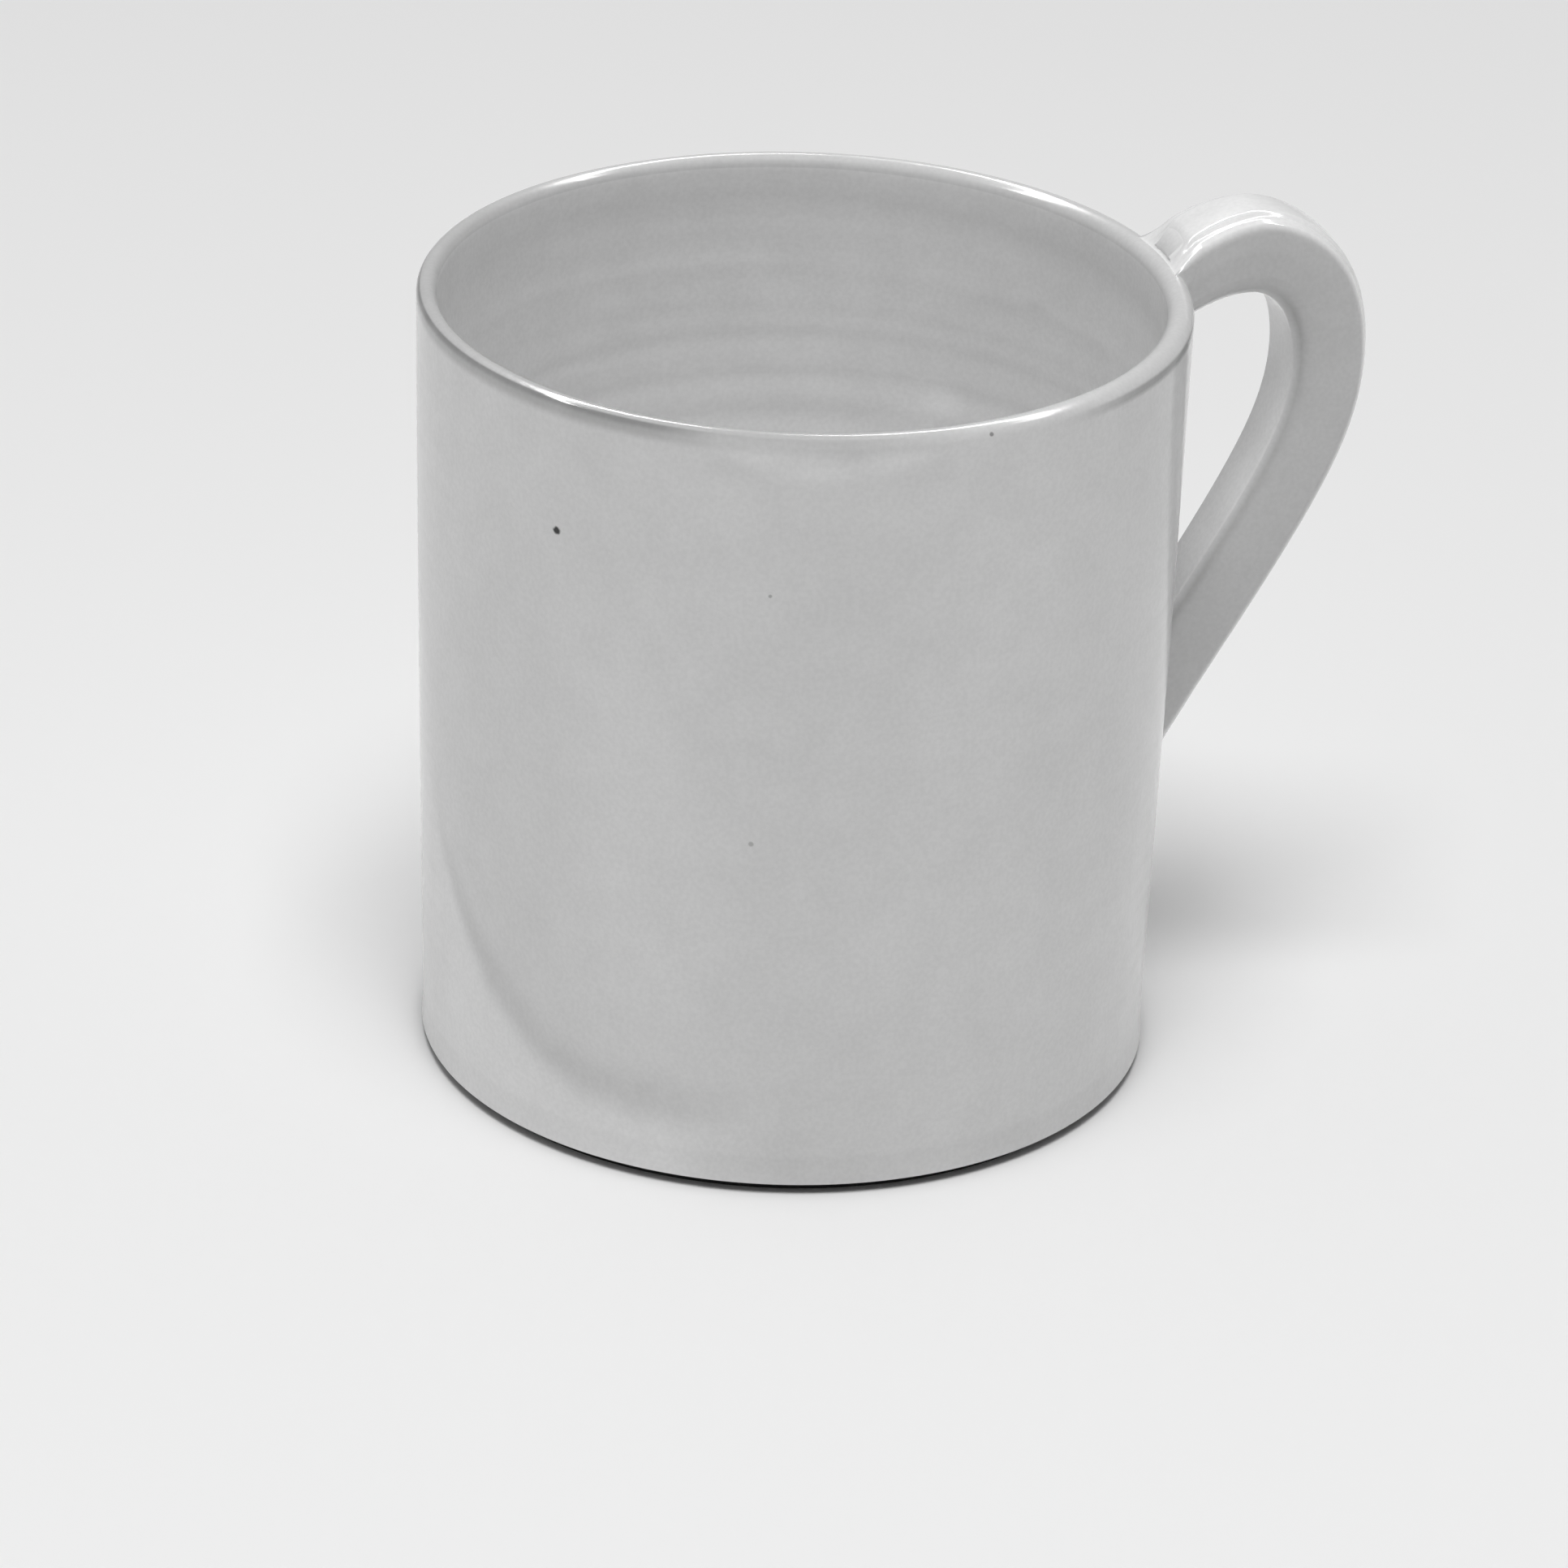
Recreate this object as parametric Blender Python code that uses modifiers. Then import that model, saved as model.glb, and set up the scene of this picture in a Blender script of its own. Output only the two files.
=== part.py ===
"""Shaving mug: a wheel-thrown cup with a pulled strap handle.

The cup's axis is Z, its foot rests on z = 0 and the handle reaches towards +X, in the XZ plane.
All sizes are in metres.
"""
import math

import bpy
import bmesh
from mathutils import Vector

# Cup
CUP_HEIGHT = 0.1014
RIM_RADIUS = 0.0477
WALL_FOOT_RADIUS = 0.0459
WALL_BOW = 0.00017
RIM_THICKNESS = 0.0029
WALL_FOOT_THICKNESS = 0.0044
FLOOR_THICKNESS = 0.0074
FLOOR_CORNER_RADIUS = 0.0090
FOOT_FLARE = 0.0005
FOOT_FLARE_HEIGHT = 0.0059
FOOT_UNDERCUT_HEIGHT = 0.0014
FOOT_UNDERCUT = 0.0017
TURN_STEPS = 72
LIP_POINTS = 9
WALL_POINTS = 7
CORNER_POINTS = 6

# Handle: a strap that follows a Bezier centreline in the XZ plane
STRAP_THICKNESS = 0.0113
STRAP_WIDTH_TOP = 0.0126
STRAP_WIDTH_TAIL = 0.0092
STRAP_SQUARENESS = 0.74
ROOT_THICKNESS_SHARE = 0.67
ROOT_WIDTH_SHARE = 1.04
ROOT_POINT = (0.0440, 0.0964)
ROOT_ANGLE = math.radians(31)
ROOT_ARM = 0.0048
CREST_POINT = (0.0574, 0.1022)
CREST_ARMS = (0.0060, 0.0022)
OUTER_POINT = (0.0680, 0.0871)
OUTER_ARMS = (0.0129, 0.0126)
TAIL_POINT = (0.0441, 0.0371)
TAIL_ANGLE = math.radians(60)
TAIL_ARM = 0.0301
PATH_STEPS = 16
SECTION_STEPS = 6

# Slip joints between the handle's two ends and the cup's wall
GAP = 0.0003
SLIP_THICKNESS = 0.0012
SLIP_OVERHANG = 0.0011
UPPER_SLIP_SPAN = (0.0904, 0.0998)
LOWER_SLIP_SPAN = (0.0254, 0.0589)
CLEARANCE_RISE = 0.0100

MERGE_DISTANCE = 0.00001
SMOOTH_ANGLE = math.radians(35)

GLAZE_WHITE = (0.80, 0.80, 0.79, 1.0)
SLIP_WHITE = (0.76, 0.75, 0.73, 1.0)


def clear_scene():
    for obj in list(bpy.data.objects):
        bpy.data.objects.remove(obj, do_unlink=True)


def new_collection(name):
    collection = bpy.data.collections.new(name)
    bpy.context.scene.collection.children.link(collection)
    return collection


def ceramic(name, colour, roughness):
    material = bpy.data.materials.new(name)
    material.use_nodes = True
    shader = material.node_tree.nodes["Principled BSDF"]
    shader.inputs["Base Color"].default_value = colour
    shader.inputs["Roughness"].default_value = roughness
    shader.inputs["Metallic"].default_value = 0.0
    return material


def outer_radius(z):
    """The wall's outside: a slight taper, a slight bow, and a flare down to the foot."""
    share = z / CUP_HEIGHT
    taper = WALL_FOOT_RADIUS + (RIM_RADIUS - WALL_FOOT_RADIUS) * share
    bow = WALL_BOW * 4 * share * (1 - share)
    flare = FOOT_FLARE * max(0.0, 1 - z / FOOT_FLARE_HEIGHT) ** 2
    return taper + bow + flare


def inner_radius(z):
    share = z / CUP_HEIGHT
    thickness = WALL_FOOT_THICKNESS + (RIM_THICKNESS - WALL_FOOT_THICKNESS) * share
    return outer_radius(z) - thickness


def spread(first, last, count):
    """count evenly spaced values from first to last, both included."""
    return [first + (last - first) * i / (count - 1) for i in range(count)]


def cup_profile():
    """From the floor's centre up the inside, over the lip and down the outside."""
    lip_radius = RIM_THICKNESS / 2
    lip_z = CUP_HEIGHT - lip_radius
    lip_x = outer_radius(lip_z) - lip_radius
    corner_top = FLOOR_THICKNESS + FLOOR_CORNER_RADIUS
    corner_x = inner_radius(corner_top) - FLOOR_CORNER_RADIUS

    points = [(0.0, FLOOR_THICKNESS)]
    for angle in spread(-math.pi / 2, 0.0, CORNER_POINTS):
        points.append((corner_x + FLOOR_CORNER_RADIUS * math.cos(angle),
                       corner_top + FLOOR_CORNER_RADIUS * math.sin(angle)))
    for z in spread(corner_top, lip_z, WALL_POINTS)[1:-1]:
        points.append((inner_radius(z), z))
    for angle in spread(math.pi, 0.0, LIP_POINTS):
        points.append((lip_x + lip_radius * math.cos(angle), lip_z + lip_radius * math.sin(angle)))
    for z in spread(lip_z, FOOT_FLARE_HEIGHT, WALL_POINTS)[1:]:
        points.append((outer_radius(z), z))
    for z in spread(FOOT_FLARE_HEIGHT, FOOT_UNDERCUT_HEIGHT, 4)[1:]:
        points.append((outer_radius(z), z))
    points.append((outer_radius(FOOT_UNDERCUT_HEIGHT) - FOOT_UNDERCUT, 0.0))
    points.append((0.0, 0.0))
    return points


def clearance_profile(offset):
    """The cup's outside grown by offset, as a solid plug that also stands clear above the lip."""
    top = CUP_HEIGHT + CLEARANCE_RISE
    points = [(0.0, top), (outer_radius(CUP_HEIGHT) + offset, top)]
    for z in spread(CUP_HEIGHT, FOOT_FLARE_HEIGHT, WALL_POINTS):
        points.append((outer_radius(z) + offset, z))
    points.append((0.0, FOOT_FLARE_HEIGHT))
    return points


def slip_ring_profile(span):
    """A closed outline of the slip layer's thickness, over a span of heights."""
    low, high = span
    heights = spread(high, low, WALL_POINTS)
    outside = [(outer_radius(z) + GAP + SLIP_THICKNESS, z) for z in heights]
    inside = [(outer_radius(z) + GAP, z) for z in reversed(heights)]
    return outside + inside


def turned(name, profile, closed, collection):
    """A profile in the XZ plane, turned about Z with a Screw modifier."""
    mesh = bpy.data.meshes.new(name)
    vertices = [(x, 0.0, z) for x, z in profile]
    edges = [(i, i + 1) for i in range(len(profile) - 1)]
    if closed:
        edges.append((len(profile) - 1, 0))
    mesh.from_pydata(vertices, edges, [])
    obj = bpy.data.objects.new(name, mesh)
    collection.objects.link(obj)
    screw = obj.modifiers.new("Turn", "SCREW")
    screw.axis = "Z"
    screw.steps = TURN_STEPS
    screw.render_steps = TURN_STEPS
    screw.use_merge_vertices = True
    screw.merge_threshold = MERGE_DISTANCE
    screw.use_smooth_shade = True
    return obj


def as_guide(obj):
    obj.hide_render = True
    obj.display_type = "WIRE"
    return obj


def strap_section(name, grow, collection):
    """The strap's cross-section: width along X, thickness along Y, with rounded corners."""
    half_x = STRAP_WIDTH_TOP / 2 + grow
    half_y = STRAP_THICKNESS / 2 + grow
    curve = bpy.data.curves.new(name, "CURVE")
    curve.dimensions = "2D"
    curve.fill_mode = "NONE"
    curve.resolution_u = SECTION_STEPS
    spline = curve.splines.new("BEZIER")
    spline.bezier_points.add(3)
    spline.use_cyclic_u = True
    for knot, (x, y) in zip(spline.bezier_points, [(1, 0), (0, 1), (-1, 0), (0, -1)]):
        centre = Vector((x * half_x, y * half_y, 0.0))
        arm = Vector((-y * half_x, x * half_y, 0.0)) * STRAP_SQUARENESS
        knot.co = centre
        knot.handle_left = centre - arm
        knot.handle_right = centre + arm
    section = bpy.data.objects.new(name, curve)
    collection.objects.link(section)
    return as_guide(section)


def strap_knots():
    """The centreline's knots: point, arm back, arm ahead, and the section's scale there."""
    root_arm = Vector((math.cos(ROOT_ANGLE), 0.0, math.sin(ROOT_ANGLE))) * ROOT_ARM
    tail_arm = Vector((math.cos(TAIL_ANGLE), 0.0, math.sin(TAIL_ANGLE))) * TAIL_ARM
    return [
        (ROOT_POINT, -root_arm, root_arm, ROOT_THICKNESS_SHARE),
        (CREST_POINT, Vector((-CREST_ARMS[0], 0.0, 0.0)), Vector((CREST_ARMS[1], 0.0, 0.0)), 1.0),
        (OUTER_POINT, Vector((0.0, 0.0, OUTER_ARMS[0])), Vector((0.0, 0.0, -OUTER_ARMS[1])), 1.0),
        (TAIL_POINT, tail_arm, -tail_arm, 1.0),
    ]


def clamp_share(value, start, end):
    """How far value lies from start (0) to end (1)."""
    return min(1.0, max(0.0, (value - start) / (end - start)))


def strap_width_share(x, z):
    """The strap narrows evenly from its crest to its tail, and spreads where it meets the lip."""
    upward = clamp_share(z, TAIL_POINT[1], CREST_POINT[1])
    share = (STRAP_WIDTH_TAIL + (STRAP_WIDTH_TOP - STRAP_WIDTH_TAIL) * upward) / STRAP_WIDTH_TOP
    if z > OUTER_POINT[1]:
        inward = clamp_share(x, CREST_POINT[0], ROOT_POINT[0])
        share *= 1 + (ROOT_WIDTH_SHARE / ROOT_THICKNESS_SHARE - 1) * inward
    return share


def strap(name, grow, collection, guides):
    """The strap as a closed mesh: a section swept along the centreline, its ends capped."""
    curve = bpy.data.curves.new(name + "_path", "CURVE")
    curve.dimensions = "3D"
    curve.twist_mode = "MINIMUM"
    curve.resolution_u = PATH_STEPS
    spline = curve.splines.new("BEZIER")
    spline.bezier_points.add(3)
    for knot, (point, back, ahead, scale) in zip(spline.bezier_points, strap_knots()):
        knot.co = (point[0], 0.0, point[1])
        knot.handle_left = knot.co + back
        knot.handle_right = knot.co + ahead
        knot.radius = scale
    curve.bevel_mode = "OBJECT"
    curve.bevel_object = strap_section(name + "_section", grow, guides)
    curve.use_fill_caps = True
    path = bpy.data.objects.new(name + "_path", curve)
    collection.objects.link(path)

    bpy.context.view_layer.update()
    evaluated = path.evaluated_get(bpy.context.evaluated_depsgraph_get())
    mesh = bpy.data.meshes.new_from_object(evaluated)
    mesh.name = name
    swept = bpy.data.objects.new(name, mesh)
    swept.matrix_world = path.matrix_world
    collection.objects.link(swept)
    bpy.data.objects.remove(path, do_unlink=True)

    body = bmesh.new()
    body.from_mesh(mesh)
    bmesh.ops.remove_doubles(body, verts=body.verts, dist=MERGE_DISTANCE)
    for vertex in body.verts:
        vertex.co.y *= strap_width_share(vertex.co.x, vertex.co.z)
    bmesh.ops.recalc_face_normals(body, faces=body.faces)
    body.to_mesh(mesh)
    body.free()
    return swept


def boolean(obj, operation, other):
    modifier = obj.modifiers.new(operation.title(), "BOOLEAN")
    modifier.operation = operation
    modifier.solver = "EXACT"
    modifier.object = other


def finish_piece(obj, material):
    obj.data.materials.clear()
    obj.data.materials.append(material)
    obj.data.shade_smooth()
    obj.data.set_sharp_from_angle(angle=SMOOTH_ANGLE)


def make_cup(parts):
    cup = turned("cup_body", cup_profile(), False, parts)
    finish_piece(cup, ceramic("cup_glaze", GLAZE_WHITE, 0.12))


def make_handle(parts, guides):
    handle = strap("handle", 0.0, parts, guides)
    clearance = turned("cup_clearance", clearance_profile(SLIP_THICKNESS + 2 * GAP), False, guides)
    boolean(handle, "DIFFERENCE", as_guide(clearance))
    finish_piece(handle, ceramic("handle_glaze", GLAZE_WHITE, 0.12))


def make_slip_joint(name, span, parts, guides):
    """A saddle of slip: the part of a ring on the wall that lies under the strap's end."""
    joint = turned(name, slip_ring_profile(span), True, parts)
    footprint = strap(name + "_footprint", SLIP_OVERHANG, guides, guides)
    boolean(joint, "INTERSECT", as_guide(footprint))
    finish_piece(joint, ceramic(name + "_glaze", SLIP_WHITE, 0.18))


def main():
    clear_scene()
    parts = new_collection("shaving_mug")
    guides = new_collection("guides")
    make_cup(parts)
    make_handle(parts, guides)
    make_slip_joint("upper_slip_joint", UPPER_SLIP_SPAN, parts, guides)
    make_slip_joint("lower_slip_joint", LOWER_SLIP_SPAN, parts, guides)


main()
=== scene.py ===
"""Shaving mug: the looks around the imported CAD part.

The cup, its strap handle and the two slip joints are remodelled with the detail of a
hand-thrown, glazed pot, in the CAD part's own frame: metres, +Z up, handle towards +X.
"""
import math

import bpy
import bmesh
from mathutils import Matrix, Vector, noise


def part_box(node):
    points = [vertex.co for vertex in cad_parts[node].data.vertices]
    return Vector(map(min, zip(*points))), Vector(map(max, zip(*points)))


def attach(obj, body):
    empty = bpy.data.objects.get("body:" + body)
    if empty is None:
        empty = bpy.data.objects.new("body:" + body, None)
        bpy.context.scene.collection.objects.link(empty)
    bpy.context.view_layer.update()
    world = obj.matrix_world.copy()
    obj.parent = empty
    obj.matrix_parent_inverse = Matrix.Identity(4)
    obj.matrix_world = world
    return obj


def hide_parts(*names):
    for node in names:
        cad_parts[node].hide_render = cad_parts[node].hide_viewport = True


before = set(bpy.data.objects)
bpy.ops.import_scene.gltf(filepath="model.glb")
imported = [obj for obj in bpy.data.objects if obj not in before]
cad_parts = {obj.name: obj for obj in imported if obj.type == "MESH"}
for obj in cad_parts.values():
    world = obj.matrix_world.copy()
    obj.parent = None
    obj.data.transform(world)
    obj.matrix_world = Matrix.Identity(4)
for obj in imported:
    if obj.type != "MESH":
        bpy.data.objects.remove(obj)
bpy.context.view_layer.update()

CUP_TOP_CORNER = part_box("cup_body")[1]

# Cup, in metres
HEIGHT = CUP_TOP_CORNER.z
RELIEF_ROOM = 0.000012
RIM_RADIUS = CUP_TOP_CORNER.y - RELIEF_ROOM
FOOT_TAPER = 0.0018
WALL_BOW = 0.00017
LIP_THICKNESS = 0.0029
LIP_THICKNESS_SWING = 0.00045
WALL_FOOT_THICKNESS = 0.0044
FLOOR_THICKNESS = 0.0074
FLOOR_CORNER_RADIUS = 0.0090
FOOT_FLARE = 0.0005
FOOT_FLARE_HEIGHT = 0.0059
FOOT_UNDERCUT_HEIGHT = 0.0014
FOOT_UNDERCUT = 0.0017

# Stations along the cup's profile, floor to foot: zone, first value, last value, count
PROFILE_ZONES = (
    ("floor", 0.0, 1.0, 30), ("corner", -90.0, 0.0, 14), ("inside", 0.0, 1.0, 120),
    ("lip", 180.0, 0.0, 37), ("outside", 1.0, 0.94, 18), ("outside", 0.94, 0.0, 104),
    ("flare", 1.0, 0.0, 12), ("undercut", 0.0, 1.0, 9), ("foot", 1.0, 0.0, 34),
)
INSIDE_ZONES = ("floor", "corner", "inside")
# Where the relief comes in and fades out up the wall
INSIDE_FADE, OUTSIDE_FADE = (0.0, 0.05, 0.95, 1.0), (0.0, 0.03, 0.98, 1.0)
AROUND = 288

# Finger marks inside the wall. Here and below, a rate is noise steps per metre, and a row is
# the feature's own place in the noise field
RING_PITCH = 0.0052
RING_DEPTH = 0.000032
RING_WANDER, RING_WANDER_RATE, RING_ROW = 0.9, 60, (3.7, 0.0)
OVERTONE, OVERTONE_SHARE, OVERTONE_SHIFT = 2.03, 0.45, 0.3
RING_UNEVENNESS, RING_UNEVENNESS_RATE = 0.45, 130

# The spiral in the floor
SWIRL_PITCH = 0.0050
SWIRL_DEPTH = 0.00012
SWIRL_CENTRE = 0.004

# The trimmed outside: faint lines over a slow unevenness
TRIM_LINE_PITCH = 0.0031
TRIM_LINE_DEPTH = 0.000010
TRIM_LINE_WANDER, TRIM_LINE_RATE, TRIM_LINE_ROW = 0.6, 90, (1.3, 0.0)
SWELL_DEPTH = 0.00006
SWELL_AROUND, SWELL_RATE = 1.4, 26

# Tones outside and inside: azimuth in degrees, height, half width, half height, tone
# Outside: the pale and dark spots just under the front lip are painted reflections; the three lower
# ones are faint broad patches
LIP_REFLECTIONS_AND_PATCHES = (
    (-114, 0.0986, 0.0036, 0.0011, 0.07), (-105, 0.0969, 0.0042, 0.0014, 0.08),
    (-96, 0.0980, 0.0034, 0.0012, 0.07), (-91, 0.0986, 0.0022, 0.0009, 0.05),
    (-118, 0.0972, 0.0030, 0.0016, -0.05), (-100, 0.0990, 0.0016, 0.0008, -0.05),
    (-87, 0.0964, 0.0060, 0.0022, -0.03), (-70, 0.0854, 0.0120, 0.0150, 0.02),
    (-135, 0.0574, 0.0100, 0.0200, 0.02), (-95, 0.0314, 0.0200, 0.0080, 0.02),
)
BLOTCH_STRENGTH = 1.2
# Inside: lighter and darker patches
INSIDE_PATCHES = (
    (30, 0.0866, 0.0022, 0.0007, -0.10), (36, 0.0852, 0.0030, 0.0006, -0.06),
    (47, 0.0699, 0.0040, 0.0022, 0.14), (52, 0.0674, 0.0060, 0.0020, 0.06),
)
# Painted shade and light in bands inside, for the finger rings and a shaded band under the lip:
# height, half height, tone; each runs a little uphill across the cup
RING_SHADE_BANDS = (
    (0.0949, 0.0024, -0.09), (0.0879, 0.0020, 0.02), (0.0766, 0.0007, -0.06),
    (0.0749, 0.0008, 0.03), (0.0711, 0.0007, -0.07), (0.0692, 0.0009, 0.04),
    (0.0660, 0.0009, -0.08), (0.0636, 0.0010, 0.04), (0.0589, 0.0014, -0.05),
)
BAND_TILT, BAND_TILT_TURN = 0.0012, 0.6
BAND_UNEVENNESS, BAND_AROUND, BAND_RATE = 0.5, 2, 40
BAND_STRENGTH = 0.85
# Painted light: the whole inside is painted brighter than the outside's glaze
INSIDE_PAINTED_LIGHT = 1.17
FOOT_TONE = -0.05
FOOT_TONE_EDGE = (0.0056, 0.0046)

# A curved line low on the wall, paler below it and darker just above it: it rises from its start as
# it goes round
ARC_START = math.radians(-128)
ARC_SHOWN = (-0.35, 0.05, 0.66, 0.98)
ARC_LOW, ARC_RISE = 0.0094, 0.0183
ARC_RISE_TURN, ARC_RISE_POWER = math.radians(42), 2.2
ARC_RAGGED, ARC_RAGGED_AROUND, ARC_RAGGED_RATE, ARC_ROW = 0.0006, 9, 200, 4.0
ARC_DARK, ARC_DARK_ABOVE, ARC_DARK_HALF = 0.11, 0.0020, 0.0031
ARC_PALE, ARC_PALE_EDGE = 0.12, (0.0012, -0.0030)

# The lip's grey line, a painted dark reflection under the lip's shoulder, by azimuth in degrees:
# where it starts, is full, fades and is gone
LINE_LEFT = (-224, -204, -134, -112)
LINE_RIGHT = (-70, -42, -14, -6)
LINE_FRONT = (-140, -120, -98, -84)
LINE_BACK_FROM, LINE_BACK_TO = (-212, -234), (-6, 4)
LINE_FRONT_SHARE, LINE_BACK_SHARE = 0.25, 0.4
LINE_UNEVENNESS, LINE_AROUND, LINE_ROW = 0.12, 14, (2.0, 9.0)
LINE_SHARE = 0.60
LINE_HIGH_ON_LIP, LINE_FULL_ON_LIP, LINE_LOW_ON_LIP = (56, 44), (0, 34), (24, 8)
LINE_HIGH_ON_WALL, LINE_LOW_ON_WALL = (0.0014, 0.0), (0.0011, 0.0003)

# The lip's crown, greyed with painted shade: by degrees round the lip, and the azimuth it is
# greyest at
CROWN = (15, 60, 135, 175)
CROWN_TONE, CROWN_SIDE_TONE = 0.05, 0.19
CROWN_SIDE, CROWN_SIDE_EDGE = math.radians(-165), (0.45, 0.85)

# Bare clay under the foot, pale, with near-black painted shade in the undercut and at the foot's
# edge
UNDERCUT_SHADE, CLAY_PALE = 0.020, 0.46
CLAY_EDGE = (0.985, 0.94)

# Handle, in metres: the CAD centreline's knots and arms
SECTION_HALF_WIDTH_TOP = 0.0063
SECTION_HALF_WIDTH_TAIL = 0.0046
ROOT = Vector((0.0440, 0.0, 0.0964))
ROOT_ARM = Vector((math.cos(math.radians(31)), 0.0, math.sin(math.radians(31)))) * 0.0048
CREST = Vector((0.0574, 0.0, 0.1022))
CREST_ARM_BACK = Vector((0.0060, 0, 0))
CREST_ARM_AHEAD = Vector((0.0022, 0, 0))
OUTER = Vector((0.0680, 0.0, 0.0871))
OUTER_ARM_UP = Vector((0, 0, 0.0129))
OUTER_ARM_DOWN = Vector((0, 0, 0.0126))
TAIL = Vector((0.0441, 0.0, 0.0371))
TAIL_ARM = Vector((math.cos(math.radians(60)), 0.0, math.sin(math.radians(60)))) * 0.0301
ROOT_THICKNESS_SHARE = 0.67
ROOT_WIDTH_SHARE = 1.04
SPAN_STEPS = 48

# The tail's end, tucked into the wall under the slip
TAIL_TUCK = Vector((-0.0060, 0.0, -0.0052))
TAIL_BEND_SHARE = 0.10
TAIL_SHRINK = 0.25
TAIL_STEPS = 16

# Corners of half the strap's section, outer centre to inner centre: outward, sideways, radius.
# The outer face is nearly flat, with two soft ridges at its edge.
STRAP_HALF_SECTION = [
    (0.00562, 0.0, 0.0300),
    (0.00545, 0.0031, 0.0010),
    (0.00488, 0.0037, 0.0005),
    (0.00480, 0.0044, 0.0008),
    (0.00445, 0.0051, 0.0006),
    (0.00360, 0.0058, 0.0012),
    (0.00100, 0.0060, 0.0060),
    (-0.00220, 0.00585, 0.0030),
    (-0.00370, 0.00560, 0.0020),
    (-0.00505, 0.00435, 0.0006),
    (-0.00510, 0.0, 0.0300),
]
CORNER_STEPS = 9
CORNER_ROOM = 0.49
STRAP_STATIONS = 180
STRAP_SWELL = 0.022
STRAP_SWELL_ALONG, STRAP_SWELL_ACROSS, STRAP_SWELL_THROUGH = 70, 260, 160

# Painted light and shade on the strap's faces: a shaded side, a lit outer face and a lighter inner
# face; and how far outward each starts and is full
STRAP_SIDE, STRAP_OUTER, STRAP_INNER = 0.60, 0.93, 0.84
OUTER_EDGE, INNER_EDGE = (0.0037, 0.0046), (-0.0047, -0.0050)
# Painted shade of a groove: a darker line along the strap's inner side, where the shape has no
# groove
GROOVE_SHADE, GROOVE_PLACE, GROOVE_HALF = 0.07, -0.0041, 0.0008

# Slip fillets. Over the lip the slip is wiped further up the strap, onto the lip's crown
SLIP_REACH = 0.0010
SLIP_STEPS = 14
SLIP_PULL = 0.6
UPPER_EXTRA_REACH, UPPER_EXTRA_EDGE = 3.2, (0.0010, 0.0048)
LIP_LANDING = math.radians(84)
LIP_LIFT_BELOW, LIP_LIFT, LIP_PULL_LESS = 0.0016, 1.4, 0.35
WALL_STEP = 0.0001
SUNK_IN, SUNK_DOWN = 0.0004, 0.0003
TRIM_ROOM = 0.00005
END_TO_WALL, END_DRAWN_IN = 0.8, 0.25

# Glaze: its whiteness, the strength of the lip line's painted dark reflection, and its specks as
# azimuth, height, radius, depth
GLAZE_WHITE = 0.72
LIP_REFLECTION_DEPTH = 0.55
SPECKS = (
    (-145.0, 0.0844, 0.00058, 0.97), (-111.6, 0.0810, 0.00026, 0.40),
    (-113.3, 0.0481, 0.00034, 0.35), (-80.0, 0.1004, 0.00030, 0.55),
)
SPECK_WOBBLE, SPECK_CORE, SPECK_EDGE = 0.7, 0.9, 1.5
# What noise between the first two values makes of the white, the clay and the roughness
WIDE_RANGE, NARROW_RANGE = (0.25, 0.75), (0.3, 0.7)
CLOUDS, MOTTLING, GRAIN = (0.965, 1.035), (0.98, 1.02), (0.970, 1.030)
STREAKS, GRIT = (0.975, 1.02), (0.86, 1.10)
GLAZE_ROUGHNESS = (0.13, 0.19)
BARE_ROUGHNESS = 0.6
PEEL_DEPTH = 0.00007
PEEL_FINE_SHARE = 0.35
WIRE_MARK_SHARE = 1.6

# Floor and world. The world is darker on the camera's side, so that the mug's front reads grey
FLOOR_RADIUS, FLOOR_WHITE, FLOOR_ROUGHNESS = 6.0, 0.93, 0.7
DARK_SIDE = math.radians(-94)
DARK_SIDE_DROP = -0.15
WORLD_EDGE = (-0.1, 0.85)
WORLD_BACK, WORLD_FRONT = 0.45, 0.08

# Soft boxes in the camera's frame: right, away and up; size, power, seen only in reflections
LIGHTS = (
    ("overhead", (0.0, -0.55, 1.87), 0.80, 0.88, 21.8, False),
    ("strip_left", (-0.44, 0.36, 0.85), 1.12, 0.06, 11.0, True),
    ("strip_right", (0.38, 0.36, 0.85), 1.10, 0.06, 7.0, True),
)
LIGHT_AIM = Vector((0, 0, 0.05))

# Camera: the handle points 18 degrees away from the picture plane
HANDLE_TURN = math.radians(18)
CAMERA_ELEVATION = 0.432317
CAMERA_DISTANCE = 0.88146
CAMERA_AIM_HEIGHT = 0.0514
CAMERA_PITCH, CAMERA_YAW, CAMERA_ROLL = 0.018107, -0.00072, -0.03387
CAMERA_LENS, SENSOR = 161.2, 36.0

SHARP_ANGLE = math.radians(50)


def smoothstep(low, high, value):
    share = min(1.0, max(0.0, (value - low) / (high - low)))
    return share * share * (3 - 2 * share)


def between(value, start, full, fading, gone):
    """Rises from 0 at start to 1 at full, and falls again from fading to gone."""
    return smoothstep(start, full, value) * smoothstep(gone, fading, value)


def spread(first, last, count):
    return [first + (last - first) * i / (count - 1) for i in range(count)]


def uneven(x, y, z):
    return noise.noise(Vector((x, y, z)))


def hump(value, half):
    return math.exp(-(value / half) ** 2)


# ---------------------------------------------------------------- cup

def outer_radius(z):
    share = z / HEIGHT
    bow = WALL_BOW * 4 * share * (1 - share)
    flare = FOOT_FLARE * max(0.0, 1 - z / FOOT_FLARE_HEIGHT) ** 2
    return RIM_RADIUS - FOOT_TAPER * (1 - share) + bow + flare


def lip_thickness(azimuth):
    """The potter's lip is a little thicker on the handle's side."""
    return LIP_THICKNESS + LIP_THICKNESS_SWING * math.cos(azimuth)


def wall_thickness(z, azimuth):
    share = z / HEIGHT
    return WALL_FOOT_THICKNESS + (lip_thickness(azimuth) - WALL_FOOT_THICKNESS) * share


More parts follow.
